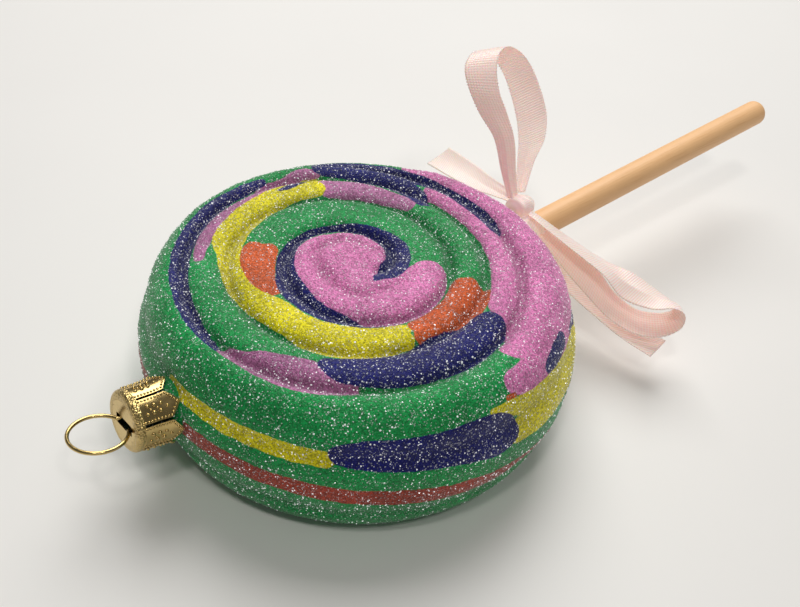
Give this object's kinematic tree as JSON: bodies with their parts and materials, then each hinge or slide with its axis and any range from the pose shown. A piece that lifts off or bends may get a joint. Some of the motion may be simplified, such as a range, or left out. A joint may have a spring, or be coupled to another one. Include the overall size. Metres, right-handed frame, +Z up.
{
  "type": "lollipop ornament",
  "caption": "Blown-glass tree ornament in the form of a swirl lollipop: thick spiral disc, wooden stick, tied satin bow and a metal cap with a hanging ring.",
  "frame": {"origin": "on the floor, under the middle of the disc, at the centre of the flat spot that it rests on", "axes": "+X along the stick, away from the disc; +Z up, out of the disc's shown face; the cap and its ring are at -X"},
  "size_m": [0.1971, 0.0895, 0.0566],
  "materials": {
    "glass": "painted in many colours and covered in fine clear glitter, so opaque",
    "gold": "bright gold-tone pressed metal",
    "wood": "smooth dowel with a peach satin paint",
    "satin": "pale pink satin ribbon"
  },
  "bodies": {
    "root": {"glass_body": "glass", "cap": "gold", "hanger_ring": "gold", "stick": "wood", "ribbon_bow": "satin"}
  },
  "joints": []
}
